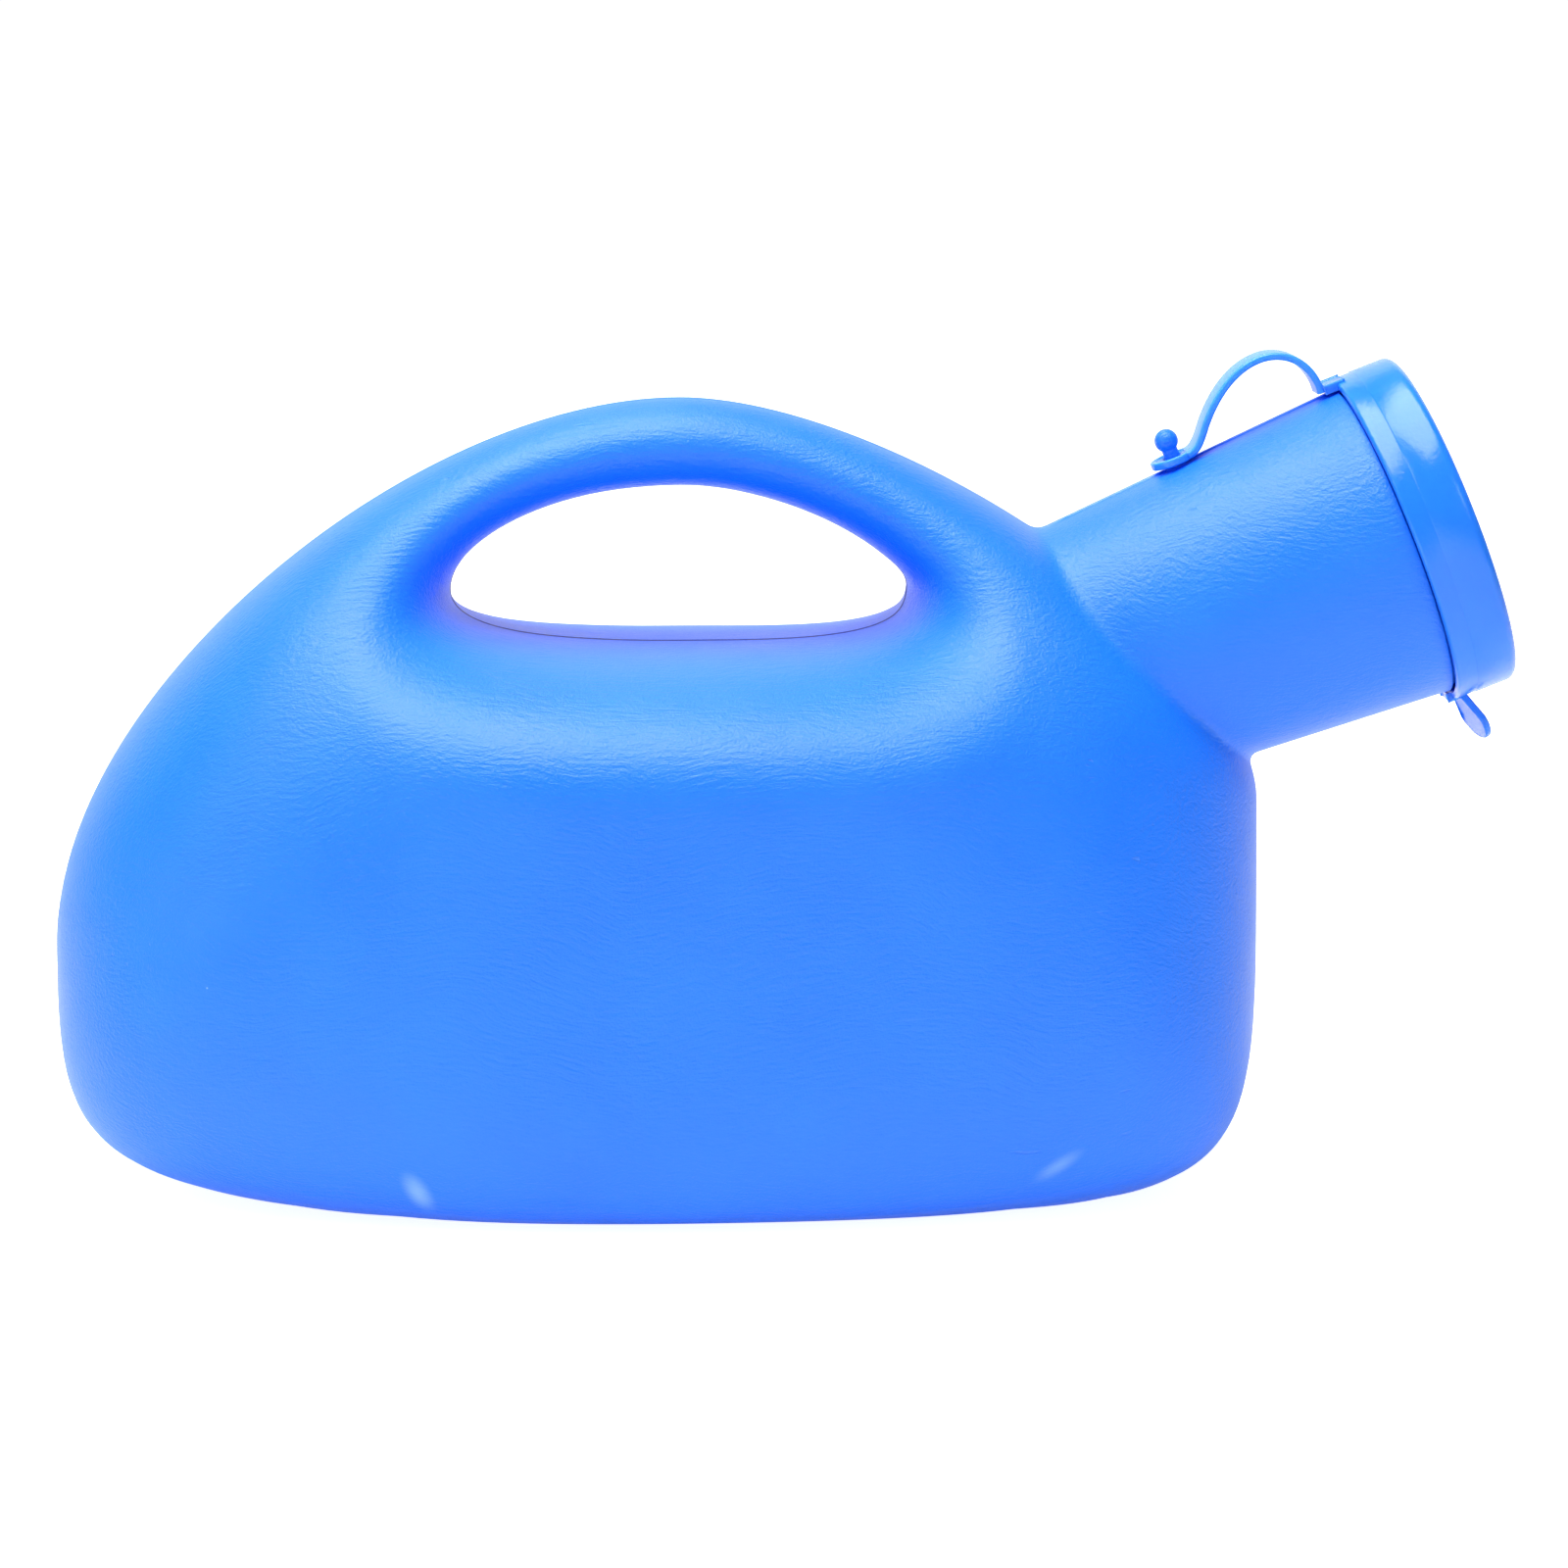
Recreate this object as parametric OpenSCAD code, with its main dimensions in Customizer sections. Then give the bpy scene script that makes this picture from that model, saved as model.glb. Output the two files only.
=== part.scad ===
// A two-litre urine bottle. The blown bottle is one hollow moulding: a domed body
// with a finger opening that leaves a hollow handle, a slanted neck with a snap bead,
// and a ball stud on the neck. The cap, its strap and the eyelet that buttons over
// the stud are moulded together in softer plastic and flex where they are split here.
// The origin is on the ground under the middle of the body, +X towards the neck.

/* [Body] */
// Length of the body, from its rounded back to its upright front
body_len = 230.5; // [215:1:260]
// Width of the body, side to side
body_w = 114; // [100:1:130]
// Height from the ground to the top of the handle
body_h = 150; // [140:1:170]
// Thickness of the blown wall
wall = 1.5; // [1:0.1:2]

/* [Handle] */
// Length of the finger opening
grip_len = 87; // [80:0.5:95]
// Height of the finger opening
grip_h = 30; // [28:0.2:34]
// Depth of the handle, from its top to the finger opening
handle_t = 16.4; // [14:0.2:20]
// Width of the handle, side to side
handle_w = 27; // [22:0.5:32]

/* [Neck] */
// Upward tilt of the neck
neck_tilt = 21.5; // [18:0.5:25]
// How far the neck's axis meets the body's front plane below the handle's top
neck_drop = 37.8; // [34:0.2:42]
// Length of the neck's axis from the body's front plane to the mouth
neck_reach = 37.1; // [34:0.1:46]
// Outer radius of the neck where the cap's skirt ends
neck_r = 31; // [29:0.1:33]
// Growth of the neck's radius for each millimetre towards the mouth
neck_taper = 0.066; // [0.05:0.001:0.08]
// Length of the mouth that the cap covers
finish_len = 9.6; // [8:0.1:14]
// Depth of the recess round the mouth, behind and before the snap bead
finish_recess = 1; // [0.8:0.1:1.3]
// Height of the snap bead above the recess
bead_h = 0.75; // [0.5:0.05:0.8]

/* [Cap] */
// Radial gap between the cap's skirt and the neck
cap_gap = 0.55; // [0.5:0.05:0.8]
// Thickness of the cap's skirt
skirt_t = 1.3; // [1.2:0.1:2]
// Thickness of the cap's disc
disc_t = 2.1; // [1.2:0.1:2.5]
// Length of the thumb tab
tab_len = 11.2; // [8:0.2:14]
// Width of the thumb tab
tab_w = 9.6; // [7:0.2:12]

/* [Tether] */
// Width of the strap
strap_w = 7.4; // [5:0.2:9]
// Thickness of the strap
strap_t = 1.4; // [1:0.1:2]
// Distance from the mouth back to the stud
stud_back = 43.5; // [40:0.5:50]
// Radius of the stud's stem
stem_r = 1.5; // [1.2:0.1:1.8]
// Radius of the stud's ball
ball_r = 2.25; // [2:0.05:2.6]
// Height of the ball's centre above the neck
ball_rise = 5.2; // [4.8:0.1:6]
// Radius of the eyelet
eyelet_r = 4.4; // [3.8:0.1:5]
// Thickness of the eyelet
eyelet_t = 1.5; // [1.2:0.1:1.6]

/* [Hidden] */

bottle_blue = [0.16, 0.47, 1.0];
cap_blue = [0.28, 0.58, 1.0];

fine = 96;

big = 2 * (body_len + body_w + body_h);

// The finger opening's middle and the outline's top lie a little ahead of the body's middle
mid_x = 4;
foot_dip = 1.5;
front = [body_len / 2, 0.48 * body_h];
top = [mid_x, body_h];
back = [-body_len / 2, 0.307 * body_h];
foot = [mid_x, -foot_dip];

// The outline's quarters: two ends, whether the curve leaves the first end upright, and how
// far it is pulled along each end's own direction, as a share of the quarter's side
quarters = [
    [front, top, true, 0.4, 0.36],
    [top, back, false, 0.43, 0.45],
    [back, foot, true, 0.9, 0.98],
    [foot, front, false, 1.03, 1.12]];

grip_z = body_h - handle_t - 0.66 * grip_h;
grip_up = body_h - handle_t - grip_z;
grip_down = grip_h - grip_up;

// Rounding of the finger opening's corners, [down, up] at the back and at the front: 2 is an
// ellipse and more is squarer
grip_power = [[2, 2.1], [2.4, 1.75]];

// The shoulder: how far from the opening it is, and where it starts to narrow upwards
shoulder_reach = 29;
shoulder_z0 = 0.53 * body_h;
plan_power = 2.4;

outer_steps = [56, 36];
inner_steps = [44, 26];

function polar(t, p) = pow(pow(abs(cos(t)), p) + pow(abs(sin(t)), p), -1 / p);

function smooth(t) = let (c = min(1, max(0, t))) c * c * (3 - 2 * c);

function cubic(c, t) =
    pow(1 - t, 3) * c[0] + 3 * t * pow(1 - t, 2) * c[1] + 3 * t * t * (1 - t) * c[2] + t * t * t * c[3];

function cubic_normal(c, t) =
    let (d = cubic(c, min(1, t + 0.01)) - cubic(c, max(0, t - 0.01)))
    [-d[1], d[0]] / norm(d);

// Corner points of one quarter's cubic curve
function pulled(a, b, upright, share) =
    upright ? [a[0], a[1] + share * (b[1] - a[1])] : [a[0] + share * (b[0] - a[0]), a[1]];

function quarter(q) =
    [q[0], pulled(q[0], q[1], q[2], q[3]), pulled(q[1], q[0], !q[2], q[4]), q[1]];

// Outer edge of the body in its middle plane, t turns from its front, drawn in by the wall
function rim_point(t, inset) =
    let (i = floor(4 * t), c = quarter(quarters[i]))
    cubic(c, 4 * t - i) + inset * cubic_normal(c, 4 * t - i);

// Edge of the finger opening in the middle plane, towards the angle u, pushed out by the wall
function grip_point(u, inset) =
    let (up = smooth(0.5 + sin(u) / 0.8),
         ahead = smooth(0.5 + cos(u) / 0.8),
         row = grip_power[0] * (1 - ahead) + grip_power[1] * ahead,
         r = polar(u, row[0] * (1 - up) + row[1] * up),
         h = (grip_up + grip_down) / 2 + (grip_up - grip_down) / 2 * sin(u))
    [mid_x + (grip_len / 2 + inset) * cos(u) * r, grip_z + (h + inset) * sin(u) * r];

// Where the section is widest, as a share of the way from the opening to the rim: a
// constant reach from the opening, but never more than half way
function widest(a, b) = let (x = shoulder_reach / norm(b - a)) x / sqrt(1 + 4 * x * x);

// Half-width of the body at its shoulder: rounded in plan, and narrowing to the handle
function shoulder_w(p) =
    let (along = abs(p[0] - mid_x) / (p[0] > mid_x ? front[0] - mid_x : mid_x - back[0]),
         rise = (p[1] - shoulder_z0) / (body_h - handle_t / 2 - shoulder_z0),
         plan = pow(max(0, 1 - pow(along, plan_power)), 1 / plan_power))
    plan * (body_w + (handle_w - body_w) * smooth(rise)) / 2;

function outer_power(u) = 2 + 5 * pow(max(0, -sin(u)), 4);
function inner_power(u) = 2 + 0.7 * pow(max(0, -sin(u)), 2);

function skin_point(t, v, inset) =
    let (rim = rim_point(t, 0),
         u = atan2(rim[1] - grip_z, rim[0] - mid_x),
         grip = grip_point(u, 0),
         w = widest(grip, rim),
         half = shoulder_w(grip * (1 - w) + rim * w) - inset,
         a = grip_point(u, inset),
         b = rim_point(t, inset),
         r = polar(v, cos(v) >= 0 ? outer_power(u) : inner_power(u)),
         s = w + (cos(v) >= 0 ? 1 - w : w) * cos(v) * r)
    [a[0] + (b[0] - a[0]) * s, -half * sin(v) * r, a[1] + (b[1] - a[1]) * s];

// The body's skin as a closed ring of sections round the finger opening, cut flat below
module skin(inset, steps) {
    nu = steps[0];
    nv = steps[1];
    points = [for (i = [0:nu - 1], j = [0:nv - 1])
        skin_point(i / nu, 360 * j / nv, inset)];
    faces = [for (i = [0:nu - 1], j = [0:nv - 1])
        let (i2 = (i + 1) % nu, j2 = (j + 1) % nv,
             p = i * nv + j, q = i2 * nv + j, r = i2 * nv + j2, s = i * nv + j2)
        each [[p, r, q], [p, s, r]]];
    intersection() {
        polyhedron(points, faces, convexity = 6);
        translate([-big / 2, -big / 2, inset]) cube(big);
    }
}

// The neck's own frame: origin at the middle of the mouth, +Z out of it, +X up its back
mouth = [body_len / 2 + neck_reach * cos(neck_tilt), 0,
         body_h - neck_drop + neck_reach * sin(neck_tilt)];

module on_neck() {
    translate(mouth) rotate([0, 90 - neck_tilt, 0]) rotate([0, 0, 180]) children();
}

function neck_at(z) = neck_r + neck_taper * (z + finish_len);

neck_root = -(neck_reach + 50);
bore_root = -(neck_reach + 46);
finish_r = neck_r - finish_recess;
bead_r = finish_r + bead_h;
bead_z = -0.42 * finish_len;
bead_half = 1.3;
shoulder_z = -finish_len - 0.3;
bore_r = finish_r - wall - 0.1;
bore_len = finish_len + 3;

stud_x = neck_at(-stud_back);

module stud() {
    translate([0, 0, -stud_back]) rotate([0, 90, 0]) union() {
        translate([0, 0, stud_x - 1.2]) cylinder(h = ball_rise + 1.2, r = stem_r, $fn = fine);
        translate([0, 0, stud_x + ball_rise]) sphere(r = ball_r, $fn = fine);
    }
}

module neck_shell() {
    rotate_extrude($fn = fine) polygon([
        [0, neck_root],
        [neck_at(neck_root), neck_root],
        [neck_at(shoulder_z), shoulder_z],
        [finish_r, shoulder_z],
        [finish_r, bead_z - bead_half],
        [bead_r, bead_z],
        [finish_r, bead_z + bead_half],
        [finish_r, -0.4],
        [finish_r - 0.4, 0],
        [0, 0]]);
}

module neck_bore() {
    rotate_extrude($fn = fine) polygon([
        [0, bore_root],
        [neck_at(bore_root) - wall, bore_root],
        [neck_at(-bore_len - 2) - wall, -bore_len - 2],
        [bore_r, -bore_len],
        [bore_r, 1],
        [0, 1]]);
}

module bottle() {
    color(bottle_blue) difference() {
        union() {
            skin(0, outer_steps);
            on_neck() neck_shell();
            on_neck() stud();
        }
        skin(wall, inner_steps);
        on_neck() neck_bore();
    }
}

// The cap, in the neck's frame
mouth_gap = 0.3;
skirt_in = neck_r + cap_gap;
skirt_r = skirt_in + skirt_t;
band_step = 0.15;
edge_cut = 2;
band_z = -0.6 * finish_len;
cap_top = mouth_gap + disc_t;
lip_h = 0.3;
lip_len = 1.2;
lean = 11;

// The cap swings about a line along the outer edge of its upper ear
ear_len = 2.6;
hinge_x = skirt_r;
hinge_z = -finish_len - ear_len - 0.1;

module ear(side) {
    ear_z = -finish_len - (side > 0 ? ear_len : 0.9);
    translate([side > 0 ? skirt_in + 0.1 : -skirt_r, -strap_w / 2, ear_z])
        cube([skirt_t - 0.1, strap_w, -finish_len + 1.4 - ear_z]);
}

module thumb_tab() {
    translate([-skirt_in - 0.6, 0, -finish_len + 1]) rotate([0, lean, 0]) union() {
        translate([-tab_len + tab_w / 2, 0, 0]) cylinder(h = strap_t, d = tab_w, $fn = fine);
        translate([-tab_len + tab_w / 2, -tab_w / 2, 0]) cube([tab_len - tab_w / 2, tab_w, strap_t]);
    }
}

module cap() {
    color(cap_blue) on_neck() union() {
        rotate_extrude($fn = fine) polygon([
            [0, mouth_gap],
            [skirt_in, mouth_gap],
            [skirt_in, -finish_len + lip_len + lip_h],
            [skirt_in - lip_h, -finish_len + lip_len],
            [skirt_in - lip_h, -finish_len],
            [skirt_r, -finish_len],
            [skirt_r, band_z],
            [skirt_r + band_step, band_z + band_step],
            [skirt_r + band_step, cap_top - edge_cut],
            [skirt_r + band_step - edge_cut, cap_top],
            [0, cap_top]]);
        ear(1);
        ear(-1);
        thumb_tab();
    }
}

// The eyelet is a round washer that turns on the stud
eyelet_x = stud_x + ball_rise - ball_r - 0.75 - eyelet_t;
eyelet_gap = 0.3;

module tether_eyelet() {
    color(cap_blue) on_neck() translate([eyelet_x, 0, -stud_back]) rotate([0, 90, 0]) difference() {
        cylinder(h = eyelet_t, r = eyelet_r, $fn = fine);
        translate([0, 0, -1]) cylinder(h = eyelet_t + 2, r = stem_r + eyelet_gap, $fn = fine);
    }
}

// The strap arches from the ear to the eyelet along one cubic curve in the middle plane
strap_gap = 0.1;
strap_pull = [11.5, 0.8];
strap_sweep = [17.5, 11.5];
strap_from = [hinge_x - 0.9, hinge_z - strap_gap - strap_t / 2];
strap_to = [eyelet_x + eyelet_t / 2 + 0.6, -stud_back + eyelet_r + strap_gap + 0.6];
strap_curve = [strap_from, strap_from + strap_pull, strap_to + strap_sweep, strap_to];
strap_steps = 28;

module tether_strap() {
    side = [for (i = [0:strap_steps]) cubic(strap_curve, i / strap_steps)];
    out = [for (i = [0:strap_steps]) cubic_normal(strap_curve, i / strap_steps) * strap_t / 2];
    edge = concat([for (i = [0:strap_steps]) side[i] + out[i]],
                  [for (i = [strap_steps:-1:0]) side[i] - out[i]]);
    color(cap_blue) on_neck() rotate([90, 0, 0])
        translate([0, 0, -strap_w / 2]) linear_extrude(strap_w) polygon(edge);
}

bottle();
cap();
tether_strap();
tether_eyelet();
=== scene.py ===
import math

import bmesh
import bpy
import numpy as np
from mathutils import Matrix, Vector
from mathutils.bvhtree import BVHTree


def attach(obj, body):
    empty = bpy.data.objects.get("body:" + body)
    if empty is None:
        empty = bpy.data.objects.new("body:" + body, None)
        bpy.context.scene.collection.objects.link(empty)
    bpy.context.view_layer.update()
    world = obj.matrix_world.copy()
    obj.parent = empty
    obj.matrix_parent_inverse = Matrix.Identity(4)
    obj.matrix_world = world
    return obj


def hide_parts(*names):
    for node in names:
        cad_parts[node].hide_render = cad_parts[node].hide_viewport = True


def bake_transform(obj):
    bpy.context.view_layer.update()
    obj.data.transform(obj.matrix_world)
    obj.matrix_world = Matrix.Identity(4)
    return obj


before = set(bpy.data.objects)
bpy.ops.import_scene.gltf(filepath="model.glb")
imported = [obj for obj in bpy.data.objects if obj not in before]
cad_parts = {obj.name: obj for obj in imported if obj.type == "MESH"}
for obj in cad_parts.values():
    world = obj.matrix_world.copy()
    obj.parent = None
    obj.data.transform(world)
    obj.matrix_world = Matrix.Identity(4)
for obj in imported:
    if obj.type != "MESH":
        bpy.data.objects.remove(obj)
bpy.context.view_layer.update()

scene = bpy.context.scene


# ------------------------------------------------------------------ studio
# The bottle stands on a white sweep under one large overhead softbox, with a small softbox on
# each side and a lit backdrop behind. A long lens looks at its side from a little above.

CAMERA_LENS = 101.9
CAMERA_AZIMUTH = math.radians(-3.06)
CAMERA_ELEVATION = math.radians(10.95)
CAMERA_ROLL = math.radians(0.107)
CAMERA_DISTANCE = 0.8538
CAMERA_TARGET = Vector((0.0241, 0, 0.0755))
FLOOR_SIZE = 12
# how bright the room and the sweep are as lights, and as what the camera sees behind the bottle
ROOM_LIGHT = 0.22
ROOM_WHITE = 1.05
SWEEP_LIGHT = 0.3
SWEEP_WHITE = 0.9
# place, what it is aimed at, width and height in metres, and power in watts
SOFTBOXES = {
    "overhead_softbox": ((-0.16, -0.1, 1.0), (-0.02, 0, 0.08), (0.9, 0.85), 17.0),
    "right_softbox": ((0.55, -1.1, 0.75), (0.05, 0, 0.1), (0.5, 0.35), 1.3),
    "left_softbox": ((-0.9, -0.5, 0.6), (0, 0, 0.08), (0.5, 0.5), 2.6),
    "backdrop_softbox": ((0.0, 1.5, 0.55), (0, 0, 0.1), (3.2, 1.3), 13.0)}

camera = bpy.data.objects.new("camera", bpy.data.cameras.new("camera"))
scene.collection.objects.link(camera)
scene.camera = camera
camera.data.lens = CAMERA_LENS
camera.data.sensor_width = 36
camera_back = Vector((
    math.sin(CAMERA_AZIMUTH) * math.cos(CAMERA_ELEVATION),
    -math.cos(CAMERA_AZIMUTH) * math.cos(CAMERA_ELEVATION),
    math.sin(CAMERA_ELEVATION)))
camera.location = CAMERA_TARGET + CAMERA_DISTANCE * camera_back
camera.rotation_euler = (-camera_back).to_track_quat("-Z", "Y").to_euler()
camera.rotation_euler.rotate_axis("Z", CAMERA_ROLL)
camera.data.clip_start = 0.05
camera.data.clip_end = 30


def softbox(name, place, aim, size, power):
    light = bpy.data.lights.new(name, "AREA")
    light.shape = "RECTANGLE"
    light.size, light.size_y = size
    light.energy = power
    lamp = bpy.data.objects.new(name, light)
    scene.collection.objects.link(lamp)
    lamp.location = place
    lamp.rotation_euler = (Vector(aim) - Vector(place)).to_track_quat("-Z", "Y").to_euler()


for softbox_name, softbox_values in SOFTBOXES.items():
    softbox(softbox_name, *softbox_values)
bpy.data.objects["backdrop_softbox"].visible_camera = False

def glow(tree, as_light, as_seen, strength):
    """Sets a strength to one value as a light and to another as the camera sees it."""
    level = tree.nodes.new("ShaderNodeMapRange")
    level.inputs["To Min"].default_value = as_light
    level.inputs["To Max"].default_value = as_seen
    ray = tree.nodes.new("ShaderNodeLightPath")
    tree.links.new(ray.outputs["Is Camera Ray"], level.inputs["Value"])
    tree.links.new(level.outputs[0], strength)


room = bpy.data.worlds.new("room")
scene.world = room
room.use_nodes = True
room_light = room.node_tree.nodes["Background"]
room_light.inputs["Color"].default_value = (1, 1, 1, 1)
glow(room.node_tree, ROOM_LIGHT, ROOM_WHITE, room_light.inputs["Strength"])

sweep_paint = bpy.data.materials.new("white_sweep")
sweep_paint.use_nodes = True
sweep_shader = sweep_paint.node_tree.nodes["Principled BSDF"]
sweep_shader.inputs["Base Color"].default_value = (0.8, 0.8, 0.8, 1)
sweep_shader.inputs["Roughness"].default_value = 0.9
sweep_shader.inputs["Specular IOR Level"].default_value = 0
sweep_shader.inputs["Emission Color"].default_value = (1, 1, 1, 1)
glow(sweep_paint.node_tree, SWEEP_LIGHT, SWEEP_WHITE, sweep_shader.inputs["Emission Strength"])

sweep_edge = FLOOR_SIZE / 2
sweep_mesh = bpy.data.meshes.new("sweep")
sweep_mesh.from_pydata(
    [(-sweep_edge, -sweep_edge, 0), (sweep_edge, -sweep_edge, 0),
     (sweep_edge, sweep_edge, 0), (-sweep_edge, sweep_edge, 0)],
    [], [(0, 1, 2, 3)])
sweep_mesh.materials.append(sweep_paint)
floor = bpy.data.objects.new("floor", sweep_mesh)
scene.collection.objects.link(floor)

scene.view_settings.view_transform = "Standard"


# ------------------------------------------------------------------ bottle
# The bottle is blown in one piece from blue high-density polyethylene: a domed body round a
# through finger opening, a hollow handle and a slanted neck. The two halves of the mould leave
# a fine raised line all round its middle plane, and their blasted faces leave the skin grained.

# the body, from its foot at z = 0
BODY_LEN = 0.2305
BODY_W = 0.114
BODY_H = 0.150
WALL = 0.0015
MIDDLE_X = 0.004
FRONT_RISE = 0.48
BACK_RISE = 0.307
FOOT_DIP = 0.0015
FOOT_ROUND = 0.0024

# the handle and the finger opening under it; a power of 2 leaves that corner of it elliptical
HANDLE_T = 0.0164
HANDLE_W = 0.027
GRIP_LEN = 0.087
GRIP_H = 0.030
GRIP_BELOW = 0.66
GRIP_POWER_BACK = (2.0, 2.1)
GRIP_POWER_FRONT = (2.4, 1.75)
GRIP_BLEND = 0.8

# the shoulder: how far out of the opening the skin is widest, and how it narrows upwards
SHOULDER_REACH = 0.029
SHOULDER_Z = 0.53 * BODY_H
PLAN_POWER = 2.4
SECTION_POWER = 2
FOOT_POWER = 5
FLOOR_POWER = 0.7

# the parting line, and the two painted glints (painted highlights) on the foot's edge, each with its
# centre, its slant in degrees, its half length and half height, and its strength
LINE_HALF_WIDTH = 0.00035
LINE_HEIGHT = 0.00014
FOOT_GLINTS = [
    ((-0.0456, -0.05, 0.0092), -62, (0.0062, 0.0029), 0.65),
    ((0.0725, -0.047, 0.0125), 34, (0.0068, 0.0022), 0.42)]
FOOT_GLINT_DEPTH = 0.03
# the painted shade along the parting line inside the finger opening: its height, half height, half
# length and colour
PINCH_SHADE_Z = 0.108
PINCH_SHADE_HALF_Z = 0.016
PINCH_SHADE_HALF_X = 0.55 * GRIP_LEN
PINCH_SHADE_COLOUR = (0.002, 0.02, 0.25, 1)

SECTIONS = 256
SECTION_POINTS = 96

# the neck and the finish of its mouth, on an axis whose zero is the mouth
NECK_TILT = math.radians(21.5)
NECK_DROP = 0.0378
NECK_REACH = 0.0371
NECK_R = 0.031
NECK_TAPER = 0.066
FINISH_LEN = 0.0096
FINISH_RECESS = 0.001
BEAD_H = 0.00075
BEAD_Z = -0.42 * FINISH_LEN
BEAD_HALF = 0.0013
# height and place across the bead, as shares of its height and of its half width
BEAD_SHAPE = [(0, -1), (0.5, -0.45), (0.93, -0.15), (1, 0), (0.93, 0.15), (0.5, 0.45), (0, 1)]
NECK_SHOULDER = -FINISH_LEN - 0.0003
FINE_EDGE = 0.0003
NECK_LINE_HEIGHT = 2 * LINE_HEIGHT
CREASE_FILLET = 0.0022
CREASE_STEPS = 5
CREASE_SNAP = 0.22
CREASE_SEEK = (-0.012, -0.1)
NECK_END = -0.084
CLEAR_OF_NECK = 1.0
NECK_ROWS = 16

# the ball stud on the neck's back
STUD_BACK = 0.0435
STEM_R = 0.0015
BALL_R = 0.00225
BALL_RISE = 0.0052
STUD_ROOT = 0.0011
STUD_STEPS = 40

NECK_AXIS = Vector((math.cos(NECK_TILT), 0, math.sin(NECK_TILT)))
NECK_UP = Vector((-math.sin(NECK_TILT), 0, math.cos(NECK_TILT)))
MOUTH = Vector((
    BODY_LEN / 2 + NECK_REACH * math.cos(NECK_TILT),
    0,
    BODY_H - NECK_DROP + NECK_REACH * math.sin(NECK_TILT)))


def smooth_step(t):
    t = np.clip(t, 0, 1)
    return t * t * (3 - 2 * t)


def cubic(corners, t):
    """Points of a cubic curve with four corners."""
    a, b, c, d = (np.array(corner, float) for corner in corners)
    t = np.asarray(t, float)[:, None]
    return (1 - t) ** 3 * a + 3 * t * (1 - t) ** 2 * b + 3 * t * t * (1 - t) * c + t ** 3 * d


def superellipse(turn, power):
    """The radius of a unit superellipse; a higher power makes its corners squarer."""
    return (np.abs(np.cos(turn)) ** power + np.abs(np.sin(turn)) ** power) ** (-1 / power)


def body_outline(steps):
    """The body's outer edge in the middle plane, as four pulled quarters from its front."""
    front = (BODY_LEN / 2, FRONT_RISE * BODY_H)
    top = (MIDDLE_X, BODY_H)
    back = (-BODY_LEN / 2, BACK_RISE * BODY_H)
    foot = (MIDDLE_X, -FOOT_DIP)
    # whether it leaves upright, and how far it is pulled as it leaves and as it arrives
    quarters = [
        (front, top, True, 0.4, 0.36),
        (top, back, False, 0.43, 0.45),
        (back, foot, True, 0.9, 0.98),
        (foot, front, False, 1.03, 1.12)]

    def pulled(a, b, upright, share):
        if upright:
            return (a[0], a[1] + share * (b[1] - a[1]))
        return (a[0] + share * (b[0] - a[0]), a[1])

    t = np.arange(steps // 4) / (steps // 4)
    return np.concatenate([
        cubic((a, pulled(a, b, upright, leave), pulled(b, a, not upright, arrive), b), t)
        for a, b, upright, leave, arrive in quarters])


def grip_outline(turn, grip_z):
    """The finger opening's edge in the middle plane, at each turn about its centre."""
    up = smooth_step(0.5 + np.sin(turn) / GRIP_BLEND)
    ahead = smooth_step(0.5 + np.cos(turn) / GRIP_BLEND)
    low_power, high_power = (
        back * (1 - ahead) + front * ahead
        for back, front in zip(GRIP_POWER_BACK, GRIP_POWER_FRONT))
    round_r = superellipse(turn, low_power * (1 - up) + high_power * up)
    grip_up = BODY_H - HANDLE_T - grip_z
    grip_down = GRIP_H - grip_up
    half_h = (grip_up + grip_down) / 2 + (grip_up - grip_down) / 2 * np.sin(turn)
    return np.hstack([
        MIDDLE_X + GRIP_LEN / 2 * np.cos(turn) * round_r,
        grip_z + half_h * np.sin(turn) * round_r])


def shoulder_half_width(place):
    """Half the body's width at its widest line, which narrows into the handle as it rises."""
    x, z = place[:, :1], place[:, 1:]
    ahead_len = np.where(x > MIDDLE_X, BODY_LEN / 2 - MIDDLE_X, BODY_LEN / 2 + MIDDLE_X)
    along = np.abs(x - MIDDLE_X) / ahead_len
    plan = np.maximum(0, 1 - along ** PLAN_POWER) ** (1 / PLAN_POWER)
    rise = (z - SHOULDER_Z) / (BODY_H - HANDLE_T / 2 - SHOULDER_Z)
    return plan * (BODY_W + (HANDLE_W - BODY_W) * smooth_step(rise)) / 2


def section_turns(line):
    """The turns of a section's points, with close ones round the middle plane."""
    count = SECTION_POINTS // 2
    even = np.pi * np.arange(1, count)[None, :] / count + 0 * line
    return np.hstack([
        0 * line, line, 2 * line, even, np.pi - 2 * line, np.pi - line, np.pi + 0 * line,
        np.pi + line, np.pi + 2 * line, np.pi + even, -2 * line, -line])


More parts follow.
